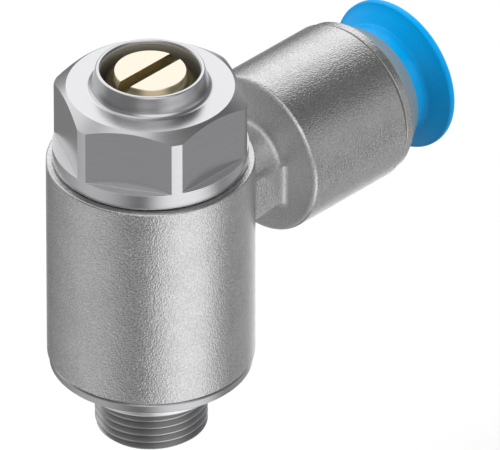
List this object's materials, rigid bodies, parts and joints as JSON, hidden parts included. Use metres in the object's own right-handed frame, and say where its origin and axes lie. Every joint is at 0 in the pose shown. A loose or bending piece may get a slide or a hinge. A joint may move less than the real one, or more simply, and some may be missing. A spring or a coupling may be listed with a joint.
{
  "type": "one-way flow control valve",
  "caption": "One-way flow control valve: hexagonal hollow bolt with a slotted regulating screw, and a swivelling metal body with a push-in tube elbow and a blue release ring.",
  "frame": {"origin": "on the thread's axis, at the end of the thread's last full turn, 0.2 mm below the sealing ring's lower face", "axes": "+Z along the thread's axis out of the port towards the regulating screw, +X along the arm's axis towards the tube opening, +Y completes the right-handed set"},
  "size_m": [0.0395, 0.0178, 0.0362],
  "materials": {
    "bolt_metal": "fine turned and milled, matt nickel grey",
    "flange_metal": "turned, satin",
    "cast_body": "fine grained matt metallic die casting",
    "seal_ring_metal": "bright, smooth",
    "screw_brass": "turned brass, pale",
    "nitrile": "smooth black rubber",
    "support_plastic": "natural acetal",
    "claw_steel": "bright spring steel",
    "sleeve_grey": "smooth bluish grey",
    "release_blue": "smooth bright blue"
  },
  "bodies": {
    "bolt": {"hollow_bolt": "bolt_metal", "thrust_flange": "flange_metal", "thread_seal_ring": "seal_ring_metal", "lower_o_ring": "nitrile", "upper_o_ring": "nitrile", "check_lip_seal": "nitrile"},
    "swivel_arm": {"swivel_body": "cast_body", "tube_seal": "nitrile", "seal_support_ring": "support_plastic", "grip_ring": "claw_steel", "cartridge_sleeve": "sleeve_grey"},
    "release_ring": {"release_ring": "release_blue"},
    "screw_lift": {"screw_o_ring": "nitrile"},
    "regulating_screw": {"regulating_screw": "screw_brass"}
  },
  "joints": [
    {"name": "body_swivel", "type": "hinge", "parent": "bolt", "child": "swivel_arm", "pos_m": [0, 0, 0.00327], "axis": [0, 0, 1], "continuous": true},
    {"name": "release_push", "type": "slide", "parent": "swivel_arm", "child": "release_ring", "axis": [-1, 0, 0], "range_m": [0, 0.001], "stiffness_N_per_m": 300, "deforming": ["grip_ring"]},
    {"name": "screw_rise", "type": "slide", "parent": "bolt", "child": "screw_lift", "axis": [0, 0, 1], "range_m": [0, 0.0034]},
    {"name": "screw_turn", "type": "hinge", "parent": "screw_lift", "child": "regulating_screw", "pos_m": [0, 0, 0.01725], "axis": [0, 0, 1], "range_deg": [0, 1632]}
  ],
  "couplings": [
    {"joint": "screw_turn", "follows": "screw_rise", "rad_per_m": 8377.6}
  ]
}
